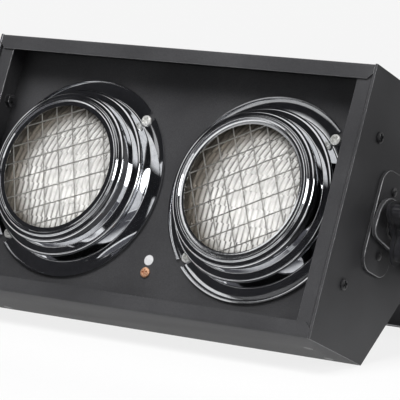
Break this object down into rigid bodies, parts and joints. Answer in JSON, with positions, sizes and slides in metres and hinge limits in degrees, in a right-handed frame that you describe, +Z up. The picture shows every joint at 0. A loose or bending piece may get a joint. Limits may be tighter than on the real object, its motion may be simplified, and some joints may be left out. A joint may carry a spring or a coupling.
{
  "type": "audience blinder light",
  "caption": "Twin sealed-beam blinder: black folded-steel housing, stepped chrome bezels with wire guards, and a flat-bar yoke with lobed clamp knobs.",
  "frame": {"origin": "on the ground under the middle of the whole light's box", "axes": "+X along the tilt axis, to the right as seen from the front; +Y backwards, away from the side the lamps shine to; +Z up. The light leans back on the rear edge of its floor and on the yoke's cross bar."},
  "size_m": [0.442, 0.278, 0.2338],
  "materials": {
    "coat": "matt black powder coat with a fine grain",
    "black_steel": "blackened steel fastener",
    "chrome": "bright chrome plate",
    "steel": "zinc-plated steel",
    "lens_glass": "pressed glass with vertical flutes",
    "reflector": "aluminised glass bowl",
    "ceramic": "glazed off-white ceramic",
    "brass": "dull copper-coloured brass",
    "fibre": "dark pressed fibre",
    "knob_plastic": "black moulded plastic",
    "gland_plastic": "black moulded plastic",
    "lead_sleeve": "woven glass-fibre sleeve"
  },
  "bodies": {
    "housing": {"roof_shell": "coat", "floor_shell": "coat", "rear_cover": "coat", "lamp_panel": "coat", "end_plate_left": "coat", "end_plate_right": "coat", "side_panel_left": "coat", "side_panel_right": "coat", "pivot_plate_left": "coat", "pivot_plate_right": "coat", "side_bolt_lower_left": "black_steel", "side_bolt_lower_right": "black_steel", "side_bolt_upper_left": "black_steel", "side_bolt_upper_right": "black_steel", "pivot_rivet_lower_left": "black_steel", "pivot_rivet_lower_right": "black_steel", "pivot_rivet_upper_left": "black_steel", "pivot_rivet_upper_right": "black_steel", "roof_screw_front_left": "black_steel", "roof_screw_front_right": "black_steel", "roof_screw_rear_left": "black_steel", "roof_screw_rear_right": "black_steel", "floor_screw_front_left": "black_steel", "floor_screw_front_right": "black_steel", "floor_screw_rear_left": "black_steel", "floor_screw_rear_right": "black_steel", "bezel_left": "chrome", "bezel_right": "chrome", "bezel_screw_lower_left": "chrome", "bezel_screw_upper_left": "chrome", "bezel_screw_lower_right": "chrome", "bezel_screw_upper_right": "chrome", "wire_guard_left": "steel", "wire_guard_right": "steel", "lamp_keeper_left": "steel", "lamp_keeper_right": "steel", "tilt_bolt_left": "steel", "tilt_bolt_right": "steel", "steel_washer_left": "steel", "steel_washer_right": "steel", "fibre_washer_left": "fibre", "fibre_washer_right": "fibre", "lamp_lens_left": "lens_glass", "lamp_lens_right": "lens_glass", "lamp_reflector_left": "reflector", "lamp_reflector_right": "reflector", "lamp_base_left": "ceramic", "lamp_base_right": "ceramic", "terminal_block": "ceramic", "earth_screw": "brass", "gland_body": "gland_plastic", "gland_cap": "gland_plastic", "gland_nut": "gland_plastic", "lamp_lead_inner_left": "lead_sleeve", "lamp_lead_outer_left": "lead_sleeve", "lamp_lead_inner_right": "lead_sleeve", "lamp_lead_outer_right": "lead_sleeve"},
    "yoke": {"yoke": "coat"},
    "knob_left": {"tilt_knob_left": "knob_plastic"},
    "knob_right": {"tilt_knob_right": "knob_plastic"}
  },
  "joints": [
    {"name": "yoke_tilt", "type": "hinge", "parent": "housing", "child": "yoke", "pos_m": [0, -0.03997, 0.10868], "axis": [1, 0, 0], "continuous": true},
    {"name": "knob_left_turn", "type": "hinge", "parent": "housing", "child": "knob_left", "pos_m": [-0.1981, -0.03997, 0.10868], "axis": [-1, 0, 0], "continuous": true},
    {"name": "knob_right_turn", "type": "hinge", "parent": "housing", "child": "knob_right", "pos_m": [0.1981, -0.03997, 0.10868], "axis": [1, 0, 0], "continuous": true}
  ]
}
